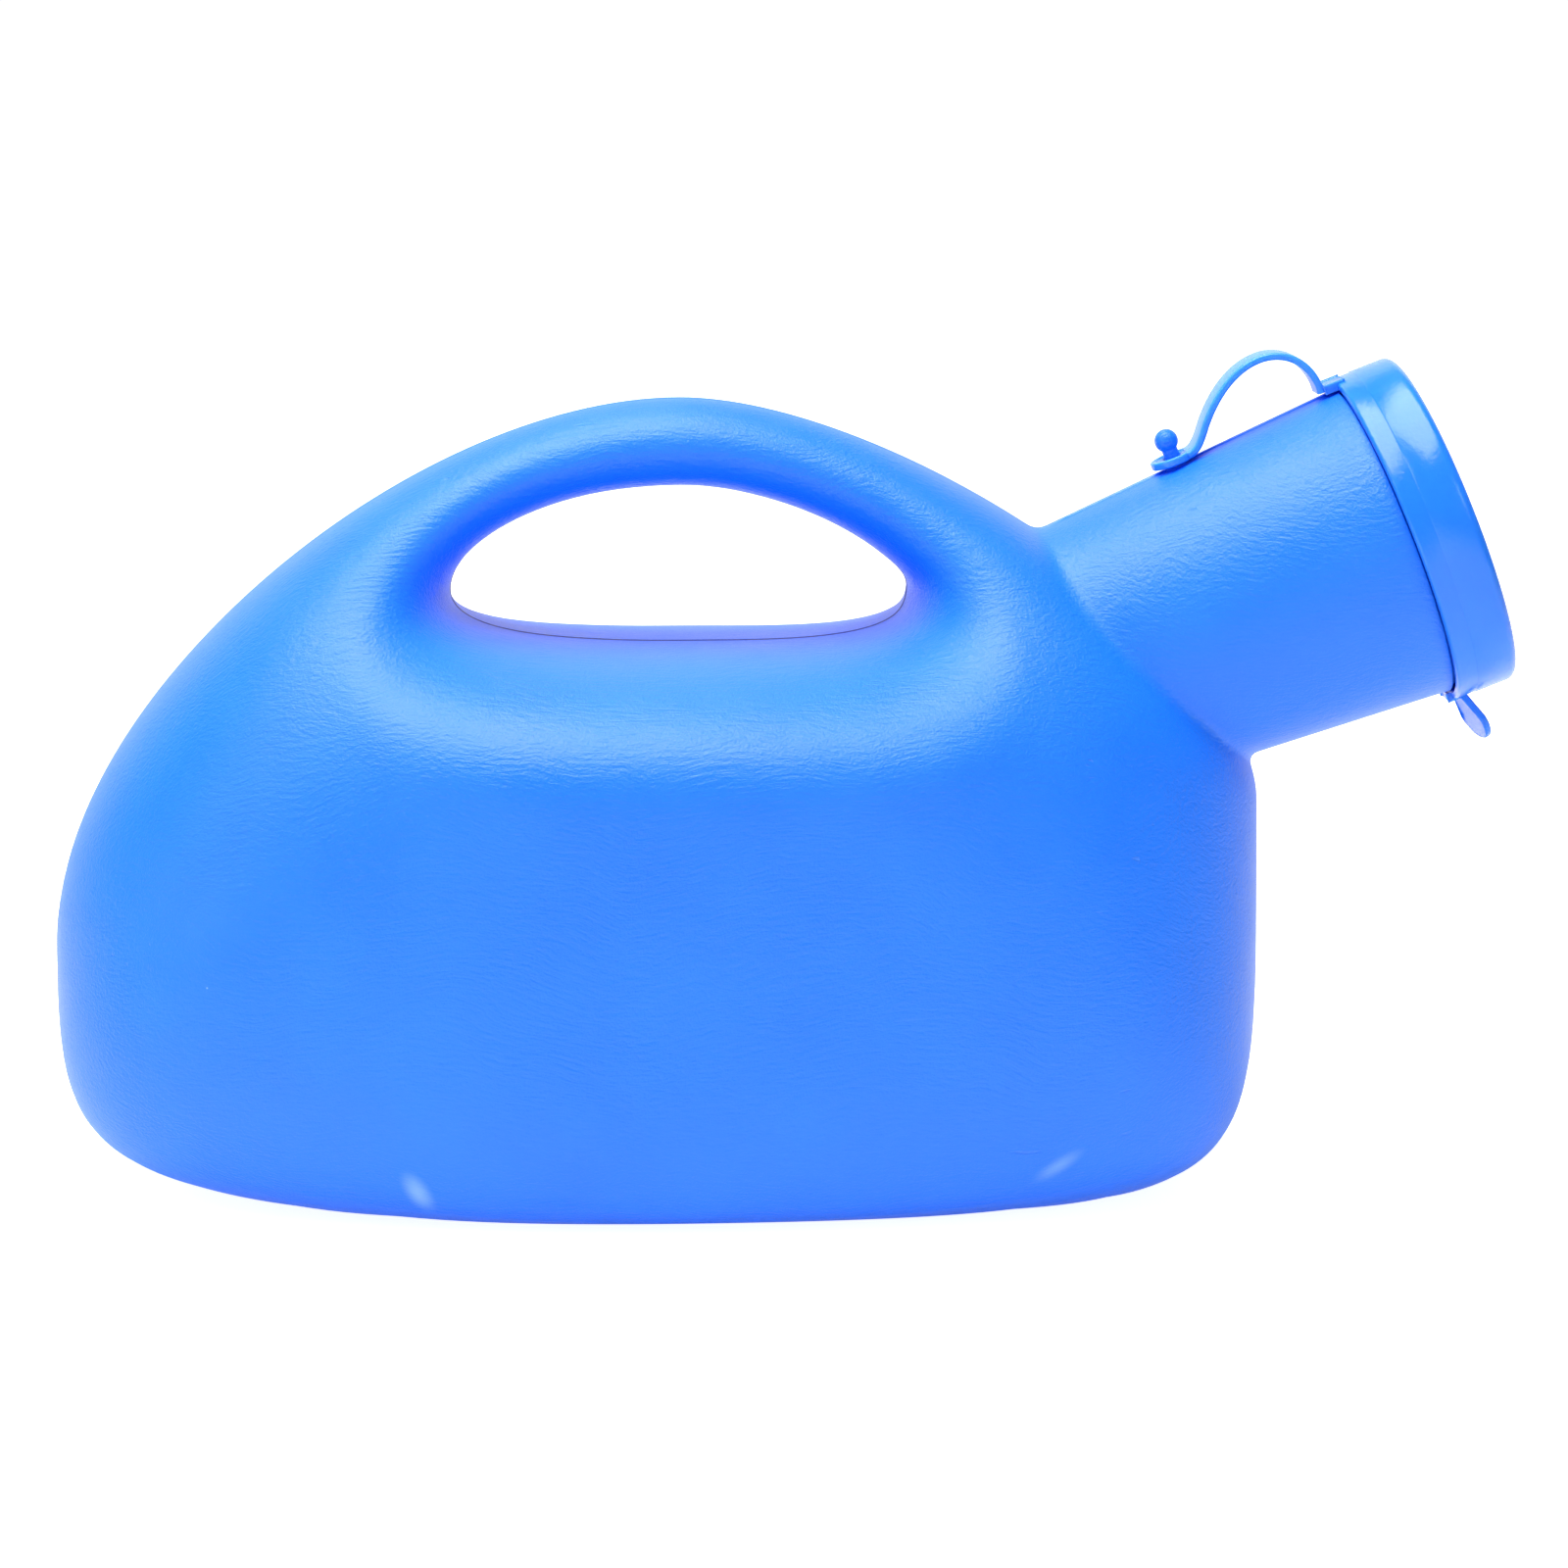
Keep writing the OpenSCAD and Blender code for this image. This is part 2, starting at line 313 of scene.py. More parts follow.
def body_skin():
    """Sections round the finger opening, each a closed curve from the opening to the rim."""
    rim = body_outline(SECTIONS)
    grip_z = BODY_H - HANDLE_T - GRIP_BELOW * GRIP_H
    turn = np.arctan2(rim[:, 1] - grip_z, rim[:, 0] - MIDDLE_X)[:, None]
    grip = grip_outline(turn, grip_z)
    across = rim - grip
    length = np.linalg.norm(across, axis=1, keepdims=True)
    reach = SHOULDER_REACH / length
    widest = reach / np.sqrt(1 + 4 * reach * reach)
    half = shoulder_half_width(grip + across * widest)

    # the parting line stands up from the skin where a section crosses the middle plane
    section_turn = section_turns(np.arcsin(LINE_HALF_WIDTH / half))
    raised = np.zeros_like(section_turn)
    raised[:, 0] = LINE_HEIGHT
    raised[:, SECTION_POINTS // 2 + 4] = -LINE_HEIGHT

    low = np.maximum(0, -np.sin(turn))
    outward = np.cos(section_turn) >= 0
    section_r = np.where(
        outward,
        superellipse(section_turn, SECTION_POWER + FOOT_POWER * low ** 4),
        superellipse(section_turn, SECTION_POWER + FLOOR_POWER * low ** 2))
    share = widest + np.where(outward, 1 - widest, widest) * np.cos(section_turn) * section_r
    share = share + raised / length
    x = grip[:, :1] + across[:, :1] * share
    y = -half * np.sin(section_turn) * section_r
    z = grip[:, 1:] + across[:, 1:] * share
    # the foot is flat, and its edge is rounded
    dip = np.maximum(FOOT_ROUND - np.abs(z), 0) / FOOT_ROUND
    z = np.maximum(z, 0) + dip * dip * FOOT_ROUND / 4
    return np.stack([x, y, z], -1)


def neck_radius(along):
    return NECK_R + NECK_TAPER * (along + FINISH_LEN)


def neck_place(turn, radius, along):
    """A point round the neck: turn 0 is up its back, along runs out of the mouth."""
    around = NECK_UP * math.cos(turn) + Vector((0, 1, 0)) * math.sin(turn)
    return MOUTH + around * radius + NECK_AXIS * along


def neck_clearance(point):
    """How far a point of the skin is outside the neck and its fillet; negative is inside."""
    reach = point - MOUTH
    along = reach.dot(NECK_AXIS)
    if along < NECK_END:
        return CLEAR_OF_NECK
    return (reach - along * NECK_AXIS).length - neck_radius(along) - CREASE_FILLET


def snap_to_cut(shell, clear):
    """Moves a grid point that is close to the cut onto it, so that no sliver is left."""
    moves = {}
    for edge in shell.edges:
        a, b = edge.verts
        if clear[a] * clear[b] < 0:
            share = clear[a] / (clear[a] - clear[b])
            for v, other, part in ((a, b, share), (b, a, 1 - share)):
                if part < CREASE_SNAP and v not in moves:
                    moves[v] = v.co.lerp(other.co, part)
    for v, place in moves.items():
        v.co = place
        clear[v] = 0.0
    return set(moves)


def cut_for_neck(shell):
    """Opens the skin where the neck grows out of it, along the outer edge of the fillet."""
    clear = {v: neck_clearance(v.co) for v in shell.verts}
    on_cut = snap_to_cut(shell, clear)
    for edge in list(shell.edges):
        a, b = edge.verts
        if clear[a] * clear[b] < 0:
            share = clear[a] / (clear[a] - clear[b])
            fresh = bmesh.utils.edge_split(edge, a, share)[1]
            clear[fresh] = 0.0
            on_cut.add(fresh)
    for face in list(shell.faces):
        cut = [v for v in face.verts if v in on_cut]
        clearances = [clear[v] for v in face.verts]
        crossed = min(clearances) < 0 < max(clearances)
        if crossed and len(cut) == 2 and not any(set(e.verts) == set(cut) for e in face.edges):
            bmesh.utils.face_split(face, cut[0], cut[1])
    inside = [f for f in shell.faces if min(clear[v] for v in f.verts) < 0
              and max(clear[v] for v in f.verts) <= 0]
    bmesh.ops.delete(shell, geom=inside, context="FACES")


def edge_loop(shell):
    """The open edge of the shell, in order, starting up the neck's back."""
    follows = {}
    for edge in shell.edges:
        if edge.is_boundary:
            loop = edge.link_loops[0]
            follows[loop.link_loop_next.vert] = loop.vert
    start = max(follows, key=lambda v: v.co.z)
    ordered = [start]
    while follows[ordered[-1]] is not start:
        ordered.append(follows[ordered[-1]])
    return ordered


def bridge(shell, one, two):
    """Faces between two closed rings of equal count."""
    count = len(one)
    for i in range(count):
        j = (i + 1) % count
        shell.faces.new((one[i], one[j], two[j], two[i]))


def skin_shell():
    """The body's skin as a closed mesh of four-sided faces, before the neck is cut in."""
    grid = body_skin()
    rows, columns = grid.shape[:2]
    shell = bmesh.new()
    points = [[shell.verts.new(grid[i, j]) for j in range(columns)] for i in range(rows)]
    for i in range(rows):
        for j in range(columns):
            k, m = (i + 1) % rows, (j + 1) % columns
            shell.faces.new((points[i][j], points[i][m], points[k][m], points[k][j]))
    bmesh.ops.recalc_face_normals(shell, faces=shell.faces)
    return shell


def crease_along(skin, turn):
    """Where the neck's side meets the skin at a turn round the neck."""
    start = neck_place(turn, neck_radius(CREASE_SEEK[0]), CREASE_SEEK[0])
    deep = neck_place(turn, neck_radius(CREASE_SEEK[1]), CREASE_SEEK[1])
    hit = skin.ray_cast(start, (deep - start).normalized())[0]
    return (hit - MOUTH).dot(NECK_AXIS)


def add_fillet(shell, ring, turns, creases):
    """Rounds the crease with a quadratic curve: from the skin, by the crease, to the neck."""
    starts = [v.co.copy() for v in ring]
    for step in range(1, CREASE_STEPS + 1):
        t = step / CREASE_STEPS
        fresh = []
        for start, turn, crease in zip(starts, turns, creases):
            corner = neck_place(turn, neck_radius(crease), crease)
            end_along = crease + CREASE_FILLET
            end = neck_place(turn, neck_radius(end_along), end_along)
            place = start * (1 - t) ** 2 + corner * 2 * t * (1 - t) + end * t * t
            fresh.append(shell.verts.new(place))
        bridge(shell, ring, fresh)
        ring = fresh
    return ring


def add_neck(shell, ring, turns, creases):
    """The neck's side from the fillet to the finish, with the parting line standing on it."""
    for row in range(1, NECK_ROWS + 1):
        fresh = []
        for turn, crease in zip(turns, creases):
            begin = crease + CREASE_FILLET
            along = begin + (NECK_SHOULDER - FINE_EDGE - begin) * row / NECK_ROWS
            off_line = abs(math.sin(turn) * NECK_R) / LINE_HALF_WIDTH
            radius = neck_radius(along) + NECK_LINE_HEIGHT * max(0, 1 - off_line)
            fresh.append(shell.verts.new(neck_place(turn, radius, along)))
        bridge(shell, ring, fresh)
        ring = fresh
    return ring


def add_inner_wall(shell):
    """The same skin again, a wall's thickness further in and facing the other way."""
    shell.normal_update()
    outer_faces = list(shell.faces)
    inner = {v: shell.verts.new(v.co - v.normal * WALL) for v in list(shell.verts)}
    for twin in inner.values():
        twin.co.z = max(twin.co.z, WALL)
    for face in outer_faces:
        shell.faces.new([inner[v] for v in reversed(face.verts)])
    return inner


def finish_profile():
    """The mouth's shoulder, recess, snap bead and cut lip, then back down the bore."""
    finish_r = NECK_R - FINISH_RECESS
    neck_r = neck_radius(NECK_SHOULDER)
    bore_r = finish_r - WALL - 0.0001
    bead = [(finish_r + BEAD_H * height, BEAD_Z + BEAD_HALF * side) for height, side in BEAD_SHAPE]
    return [
        (neck_r - 0.0001, NECK_SHOULDER - 0.0001), (neck_r - FINE_EDGE, NECK_SHOULDER),
        (finish_r + 0.0002, NECK_SHOULDER), (finish_r, NECK_SHOULDER + 0.0002), *bead,
        (finish_r, -0.0005), (finish_r - 0.00012, -0.00015), (finish_r - 0.0004, 0),
        (bore_r + 0.0002, 0), (bore_r, -0.0002), (bore_r, NECK_SHOULDER)]


def bottle_mesh():
    shell = skin_shell()
    skin = BVHTree.FromBMesh(shell)
    cut_for_neck(shell)
    ring = edge_loop(shell)
    turns = [math.atan2((v.co - MOUTH).y, (v.co - MOUTH).dot(NECK_UP)) for v in ring]
    creases = [crease_along(skin, turn) for turn in turns]
    ring = add_fillet(shell, ring, turns, creases)
    ring = add_neck(shell, ring, turns, creases)
    inner = add_inner_wall(shell)
    inner_ring = [inner[v] for v in ring]
    for radius, along in finish_profile():
        fresh = [shell.verts.new(neck_place(turn, radius, along)) for turn in turns]
        bridge(shell, ring, fresh)
        ring = fresh
    bridge(shell, ring, inner_ring)
    return shell


def lathe(shell, profile, place, steps):
    """A closed turned solid; a profile point on the axis becomes a pole."""
    rings = []
    for radius, along in profile:
        if radius == 0:
            rings.append([shell.verts.new(place(0, 0, along))])
        else:
            rings.append([shell.verts.new(place(2 * math.pi * i / steps, radius, along))
                          for i in range(steps)])
    for one, two in zip(rings, rings[1:]):
        for i in range(steps):
            j = (i + 1) % steps
            corners = [one[i % len(one)], one[j % len(one)], two[j % len(two)], two[i % len(two)]]
            shell.faces.new(list(dict.fromkeys(corners)))


def stud_place(turn, radius, rise):
    """A point round the stud on the neck's back: rise is measured from the neck's skin."""
    foot = neck_place(0, neck_radius(-STUD_BACK), -STUD_BACK)
    around = NECK_AXIS * math.cos(turn) + Vector((0, 1, 0)) * math.sin(turn)
    return foot + around * radius + NECK_UP * rise


def add_stud(shell):
    """The stud: a flared root sunk into the neck's skin, a stem and a ball."""
    sunk, flare_base = -0.0009, -0.0002
    profile = [(0, sunk), (STEM_R + STUD_ROOT, sunk), (STEM_R + STUD_ROOT, flare_base)]
    for turn in np.linspace(0, math.pi / 2, 7)[1:]:
        profile.append((STEM_R + STUD_ROOT * (1 - math.sin(turn)),
                        flare_base + STUD_ROOT * (1 - math.cos(turn))))
    meet = math.asin(STEM_R / BALL_R)
    for turn in np.linspace(meet, math.pi, 13)[:-1]:
        profile.append((BALL_R * math.sin(turn), BALL_RISE - BALL_R * math.cos(turn)))
    profile.append((0, BALL_RISE + BALL_R))
    lathe(shell, profile, stud_place, STUD_STEPS)


def finish_piece(name, shell, smooth_angle):
    """Turns a built shell into a shown piece, facing outwards and with its creases sharp."""
    bmesh.ops.recalc_face_normals(shell, faces=shell.faces)
    mesh = bpy.data.meshes.new(name)
    shell.to_mesh(mesh)
    shell.free()
    piece = bpy.data.objects.new(name, mesh)
    scene.collection.objects.link(piece)
    mesh.shade_smooth()
    mesh.set_sharp_from_angle(angle=math.radians(smooth_angle))
    return piece


def socket_group(name, inputs, outputs):
    group = bpy.data.node_groups.new(name, "ShaderNodeTree")
    for label, kind, value in inputs:
        socket = group.interface.new_socket(label, in_out="INPUT", socket_type=kind)
        if value is not None:
            socket.default_value = value
    for label, kind in outputs:
        group.interface.new_socket(label, in_out="OUTPUT", socket_type=kind)
    return group, group.nodes.new("NodeGroupInput"), group.nodes.new("NodeGroupOutput")


def put(tree, kind, settings=(), **values):
    """A node with its settings and input values; a value that is a socket is linked."""
    node = tree.nodes.new(kind)
    for key, value in dict(settings).items():
        setattr(node, key, value)
    for key, value in values.items():
        label = key.replace("_", " ") if not key.startswith("in") else int(key[2:])
        if isinstance(value, bpy.types.NodeSocket):
            tree.links.new(value, node.inputs[label])
        else:
            node.inputs[label].default_value = value
    return node


def moulded_skin_group():
    """Blasted-mould grain, flow streaks, cloudiness, scratches and dust of moulded plastic."""
    group, given, result = socket_group(
        "moulded_skin",
        [("Vector", "NodeSocketVector", None),
         ("Grain Size", "NodeSocketFloat", 0.0016),
         ("Streak Size", "NodeSocketFloat", 0.0022),
         ("Streak Share", "NodeSocketFloat", 0.6)],
        [("Height", "NodeSocketFloat"), ("Cloud", "NodeSocketFloat"),
         ("Scratch", "NodeSocketFloat"), ("Speck", "NodeSocketFloat")])
    grain_scale = put(group, "ShaderNodeMath", {"operation": "DIVIDE"}, in0=1.0,
                      in1=given.outputs["Grain Size"]).outputs[0]
    streak_scale = put(group, "ShaderNodeMath", {"operation": "DIVIDE"}, in0=1.0,
                       in1=given.outputs["Streak Size"]).outputs[0]
    grain = put(group, "ShaderNodeTexNoise", (), Vector=given.outputs["Vector"],
                Scale=grain_scale, Detail=3.0, Roughness=0.6)
    # flow streaks: noise drawn out along a slant, bent by a slower noise
    bend = put(group, "ShaderNodeTexNoise", (), Vector=given.outputs["Vector"], Scale=26.0,
               Detail=2.0)
    bent = put(group, "ShaderNodeVectorMath", {"operation": "MULTIPLY_ADD"},
               in0=bend.outputs["Color"], in1=(0.02, 0.02, 0.02), in2=given.outputs["Vector"])
    slanted = put(group, "ShaderNodeMapping", (), Vector=bent.outputs[0],
                  Rotation=(0, math.radians(-28), 0), Scale=(0.17, 0.8, 1.0))
    streak = put(group, "ShaderNodeTexNoise", (), Vector=slanted.outputs[0], Scale=streak_scale,
                 Detail=3.0, Roughness=0.55)
    both = put(group, "ShaderNodeMix", (), Factor=given.outputs["Streak Share"],
               in2=grain.outputs["Fac"], in3=streak.outputs["Fac"])
    group.links.new(both.outputs[0], result.inputs["Height"])
    cloud = put(group, "ShaderNodeTexNoise", (), Vector=given.outputs["Vector"], Scale=34.0,
                Detail=4.0, Roughness=0.55)
    group.links.new(cloud.outputs["Fac"], result.inputs["Cloud"])
    # fine scratches: long thin bands of noise, kept only where a slow noise is high
    drawn = put(group, "ShaderNodeMapping", (), Vector=given.outputs["Vector"],
                Rotation=(0, math.radians(64), 0), Scale=(0.03, 1.0, 1.0))
    lines = put(group, "ShaderNodeTexNoise", (), Vector=drawn.outputs[0], Scale=620.0, Detail=1.0)
    thin = put(group, "ShaderNodeMapRange", (), Value=lines.outputs["Fac"], From_Min=0.74,
               From_Max=0.8)
    where = put(group, "ShaderNodeTexNoise", (), Vector=given.outputs["Vector"], Scale=22.0,
                Detail=1.0)
    some = put(group, "ShaderNodeMapRange", (), Value=where.outputs["Fac"], From_Min=0.52,
               From_Max=0.62)
    kept = put(group, "ShaderNodeMath", {"operation": "MULTIPLY"}, in0=thin.outputs[0],
               in1=some.outputs[0])
    group.links.new(kept.outputs[0], result.inputs["Scratch"])
    cells = put(group, "ShaderNodeTexVoronoi", (), Vector=given.outputs["Vector"], Scale=120.0)
    dot = put(group, "ShaderNodeMapRange", (), Value=cells.outputs["Distance"], From_Min=0.03,
              From_Max=0.015)
    split = put(group, "ShaderNodeSeparateColor", (), Color=cells.outputs["Color"])
    rare = put(group, "ShaderNodeMath", {"operation": "GREATER_THAN"}, in0=split.outputs[0],
               in1=0.8)
    speck = put(group, "ShaderNodeMath", {"operation": "MULTIPLY"}, in0=dot.outputs[0],
                in1=rare.outputs[0])
    group.links.new(speck.outputs[0], result.inputs["Speck"])
    return group


moulded_skin = moulded_skin_group()


def painted_highlights(tree, wear_and_glint_mask, place, side):
    """Adds painted highlights to a share of wear: a pale painted highlight along the parting line
    and two painted glints on the foot's edge.
    """
    # painted highlight: the parting line is painted pale
    line = put(tree, "ShaderNodeMapRange", (), Value=side, From_Min=0.6 * LINE_HALF_WIDTH,
               From_Max=0.2 * LINE_HALF_WIDTH, To_Max=0.4)
    wear_and_glint_mask = put(tree, "ShaderNodeMath", {"operation": "MAXIMUM"}, in0=wear_and_glint_mask,
               in1=line.outputs[0]).outputs[0]
    # two painted glints on the foot's edge: soft pale ellipses painted into the colour as painted
    # highlights
    for centre, slant, size, strength in FOOT_GLINTS:
        moved = put(tree, "ShaderNodeVectorMath", {"operation": "SUBTRACT"}, in0=place,
                    in1=centre)
        turned = put(tree, "ShaderNodeMapping", {"vector_type": "TEXTURE"},
                     Vector=moved.outputs[0], Rotation=(0, math.radians(-slant), 0),
                     Scale=(size[0], FOOT_GLINT_DEPTH, size[1]))
        away = put(tree, "ShaderNodeVectorMath", {"operation": "LENGTH"},
                   in0=turned.outputs[0])
        glint = put(tree, "ShaderNodeMapRange", {"interpolation_type": "SMOOTHSTEP"},
                   Value=away.outputs["Value"], From_Min=1.0, From_Max=0.0, To_Max=strength)
        wear_and_glint_mask = put(tree, "ShaderNodeMath", {"operation": "MAXIMUM"}, in0=wear_and_glint_mask,
                   in1=glint.outputs[0]).outputs[0]
    return wear_and_glint_mask


def painted_pinch_shade(tree, painted, axes, side):
    """Paints shade on the line round the finger opening, where the mould's halves pinch the skin: a
    painted shadow in the crease of the flash.
    """
    level = put(tree, "ShaderNodeMath", {"operation": "COMPARE"}, in0=axes.outputs["Z"],
                in1=PINCH_SHADE_Z, in2=PINCH_SHADE_HALF_Z)
    reach = put(tree, "ShaderNodeMath", {"operation": "COMPARE"}, in0=axes.outputs["X"],
                in1=MIDDLE_X, in2=PINCH_SHADE_HALF_X)
    held = put(tree, "ShaderNodeMath", {"operation": "MULTIPLY"}, in0=level.outputs[0],
               in1=reach.outputs[0])
    line = put(tree, "ShaderNodeMapRange", (), Value=side, From_Min=1.4 * LINE_HALF_WIDTH,
               From_Max=0.9 * LINE_HALF_WIDTH)
    painted_shade_part = put(tree, "ShaderNodeMath", {"operation": "MULTIPLY"}, in0=held.outputs[0],
                    in1=line.outputs[0])
    dark = put(tree, "ShaderNodeMix", {"data_type": "RGBA"}, Factor=painted_shade_part.outputs[0])
    tree.links.new(painted, dark.inputs["A"])
    dark.inputs["B"].default_value = PINCH_SHADE_COLOUR
    return dark.outputs["Result"]


def plastic(name, deep, pale, wear_and_glint, roughness, depth, grain, streak, share, paints_light):
    """Polyethylene: cloudy colour, pale worn scratches and specks, a grained, slightly waxy surface,
    and where asked, painted highlights on the parting line and foot and painted shade round the
    finger opening.
    """
    material = bpy.data.materials.new(name)
    material.use_nodes = True
    tree = material.node_tree
    shader = tree.nodes["Principled BSDF"]
    place = put(tree, "ShaderNodeTexCoord").outputs["Object"]
    skin = put(tree, "ShaderNodeGroup", {"node_tree": moulded_skin}, Vector=place,
               Grain_Size=grain, Streak_Size=streak, Streak_Share=share)
    cloud = put(tree, "ShaderNodeMapRange", (), Value=skin.outputs["Cloud"], From_Min=0.3,
                From_Max=0.7)
    body = put(tree, "ShaderNodeMix", {"data_type": "RGBA"}, Factor=cloud.outputs[0])
    body.inputs["A"].default_value = (*deep, 1)
    body.inputs["B"].default_value = (*pale, 1)
    wear = put(tree, "ShaderNodeMath", {"operation": "MULTIPLY_ADD"},
               in0=skin.outputs["Scratch"], in1=0.18, in2=skin.outputs["Speck"])
    wear_part = put(tree, "ShaderNodeMath", {"operation": "MULTIPLY", "use_clamp": True},
                    in0=wear.outputs[0], in1=0.55)
    wear_and_glint_mask = wear_part.outputs[0]
    # painted light: a painted highlight along the parting line, painted glints on the foot, and
    # painted shade round the finger opening
    if paints_light:
        axes = put(tree, "ShaderNodeSeparateXYZ", (), Vector=place)
        side = put(tree, "ShaderNodeMath", {"operation": "ABSOLUTE"}, in0=axes.outputs["Y"])
        wear_and_glint_mask = painted_highlights(tree, wear_and_glint_mask, place, side.outputs[0])
    colour = put(tree, "ShaderNodeMix", {"data_type": "RGBA"}, Factor=wear_and_glint_mask)
    tree.links.new(body.outputs["Result"], colour.inputs["A"])
    colour.inputs["B"].default_value = (*wear_and_glint, 1)
    painted = colour.outputs["Result"]
    if paints_light:
        painted = painted_pinch_shade(tree, painted, axes, side.outputs[0])
    tree.links.new(painted, shader.inputs["Base Color"])
    rough = put(tree, "ShaderNodeMapRange", (), Value=skin.outputs["Cloud"], From_Min=0.3,
                From_Max=0.7, To_Min=roughness - 0.04, To_Max=roughness + 0.04)
    tree.links.new(rough.outputs[0], shader.inputs["Roughness"])
    scratched = put(tree, "ShaderNodeMath", {"operation": "MULTIPLY_ADD"},
                    in0=skin.outputs["Scratch"], in1=-0.5, in2=skin.outputs["Height"])
    bump = put(tree, "ShaderNodeBump", (), Height=scratched.outputs[0], Strength=1.0,
               Distance=depth)
    tree.links.new(bump.outputs[0], shader.inputs["Normal"])
    shader.inputs["IOR"].default_value = 1.5
    return material, shader


# the bottle's plastic is the one with painted highlights and painted shade
bottle_plastic, bottle_shader = plastic(
    "blue_blown_polyethylene", deep=(0.004, 0.18, 0.95), pale=(0.008, 0.2, 1.0),
    wear_and_glint=(0.3, 0.55, 1.0), roughness=0.38, depth=0.00036, grain=0.0005, streak=0.0007,
    share=0.6, paints_light=True)
bottle_shader.inputs["Specular IOR Level"].default_value = 0.5

bottle_shell = bottle_mesh()
add_stud(bottle_shell)
bottle = finish_piece("bottle_shell", bottle_shell, 35)
bottle.data.materials.append(bottle_plastic)
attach(bottle, "bottle")
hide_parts("bottle")


# ------------------------------------------------------------------ cap
# The snap cap is injection-moulded in softer, glossier low-density polyethylene: a disc with a
# raised rim, a skirt in two bands with a lip inside that snaps behind the bottle's bead, an ear
# for the strap above and a thumb tab below.

CAP_GAP = 0.00055
SKIRT_T = 0.0013
DISC_T = 0.0021
MOUTH_GAP = 0.0003
CAP_TOP = MOUTH_GAP + DISC_T
CAP_EDGE = 0.0018
BAND_Z = -0.6 * FINISH_LEN
BAND_STEP = 0.00015
LIP_H = 0.0003
LIP_LEN = 0.0012
CAP_STEPS = 192
TAB_LEN = 0.0112
TAB_W = 0.0096
TAB_T = 0.0014
TAB_LEAN = math.radians(11)
TAB_TWIST = math.radians(13)
EAR_LEN = 0.0026
STRAP_W = 0.0074
STRAP_T = 0.0014

SKIRT_IN = NECK_R + CAP_GAP
SKIRT_R = SKIRT_IN + SKIRT_T
SKIRT_END = -FINISH_LEN - 0.00024


def arc(centre, radius, start, stop, steps):
    """Points of a round corner in a profile, angles in degrees."""
    angles = [math.radians(start + (stop - start) * i / steps) for i in range(steps + 1)]
    return [(centre[0] + radius * math.cos(a), centre[1] + radius * math.sin(a)) for a in angles]


def cap_profile():
    outer = SKIRT_R + BAND_STEP
    rim_w = 0.0026
    sink = 0.0004
    profile = [(0, MOUTH_GAP)]
    profile += [(SKIRT_IN - 0.0005, MOUTH_GAP), (SKIRT_IN, MOUTH_GAP - 0.0005)]
    profile += [(SKIRT_IN, -FINISH_LEN + LIP_LEN + LIP_H + 0.0002)]
    profile += [(SKIRT_IN - LIP_H, -FINISH_LEN + LIP_LEN), (SKIRT_IN - LIP_H, -FINISH_LEN + 0.0003)]
    profile += [(SKIRT_IN, SKIRT_END)]
    profile += arc((SKIRT_R - 0.0007, SKIRT_END + 0.0007), 0.0007, -90, 0, 6)
    profile += [(SKIRT_R, BAND_Z - 0.0001), (SKIRT_R + 0.00004, BAND_Z)]
    profile += [(outer, BAND_Z + BAND_STEP), (outer, CAP_TOP - CAP_EDGE - 0.0002)]
    profile += arc((outer - CAP_EDGE, CAP_TOP - CAP_EDGE), CAP_EDGE, 6, 90, 9)
    inner = outer - CAP_EDGE - rim_w
    profile += [(inner + 0.0004, CAP_TOP), (inner + 0.0001, CAP_TOP - 0.0001)]
    profile += [(inner - 0.0004, CAP_TOP - sink + 0.0001), (inner - 0.0008, CAP_TOP - sink)]
    profile += [(0.012, CAP_TOP - sink), (0.0022, CAP_TOP - sink), (0.0019, CAP_TOP - sink + 0.0002)]
    profile += [(0.0012, CAP_TOP - sink + 0.0002), (0.0009, CAP_TOP - sink), (0, CAP_TOP - sink)]
    return profile


def add_rounded_block(shell, low, high, edge, place):
    """A block with bevelled edges between two corners of the neck's own frame."""
    x, y, z = zip(low, high)
    made = bmesh.ops.create_cube(shell, size=1)
    for v in made["verts"]:
        v.co = place(x[v.co.x > 0], y[v.co.y > 0], z[v.co.z > 0])
    edges = list({e for v in made["verts"] for e in v.link_edges})
    bmesh.ops.bevel(shell, geom=edges, offset=edge, segments=3, affect="EDGES", profile=0.5)


def on_neck(up, side, along):
    """A point of the neck's own frame: up its back, to its side, and out of the mouth."""
    return MOUTH + NECK_UP * up + Vector((0, side, 0)) + NECK_AXIS * along


